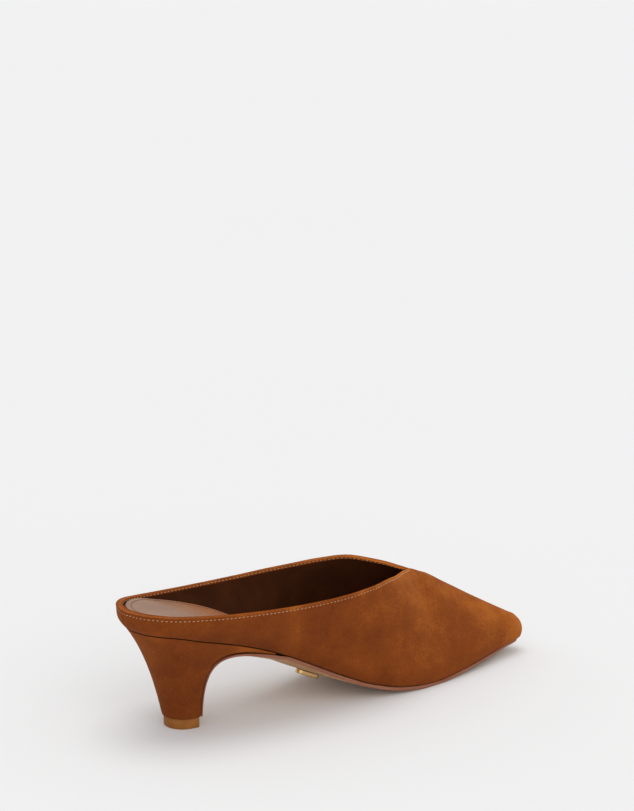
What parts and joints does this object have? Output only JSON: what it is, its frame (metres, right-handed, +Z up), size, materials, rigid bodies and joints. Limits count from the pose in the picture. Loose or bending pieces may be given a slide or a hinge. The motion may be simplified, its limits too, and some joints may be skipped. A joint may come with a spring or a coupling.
{
  "type": "mule shoe",
  "caption": "Women's left mule in suede: backless-cut vamp with a V throat, pointed toe, low collar, leather sock and covered kitten heel.",
  "frame": {"origin": "centre of the flat bottom face of the heel's top piece, on the floor", "axes": "+X from the heel to the toe, +Y to the outer (lateral) side of the foot, +Z up"},
  "size_m": [0.259, 0.0719, 0.0684],
  "materials": {
    "upper_suede": "tan-brown suede with a soft short nap, pale tan topstitching and a smooth dark brown lining",
    "insole_board": "dark brown fibre board and seat padding",
    "sock_leather": "smooth grey-brown leather with a low sheen and a stitched edge",
    "heel_suede": "tan-brown suede wrapped round the heel block",
    "sole_leather": "tan sole leather with a pinkish-brown burnished edge",
    "top_piece_plastic": "smooth orange-tan hard-wearing plastic",
    "plate_metal": "satin pale gold"
  },
  "bodies": {
    "root": {"upper": "upper_suede", "insole": "insole_board", "sock": "sock_leather", "heel": "heel_suede", "outsole": "sole_leather", "top_piece": "top_piece_plastic", "sole_plate": "plate_metal"}
  },
  "joints": []
}
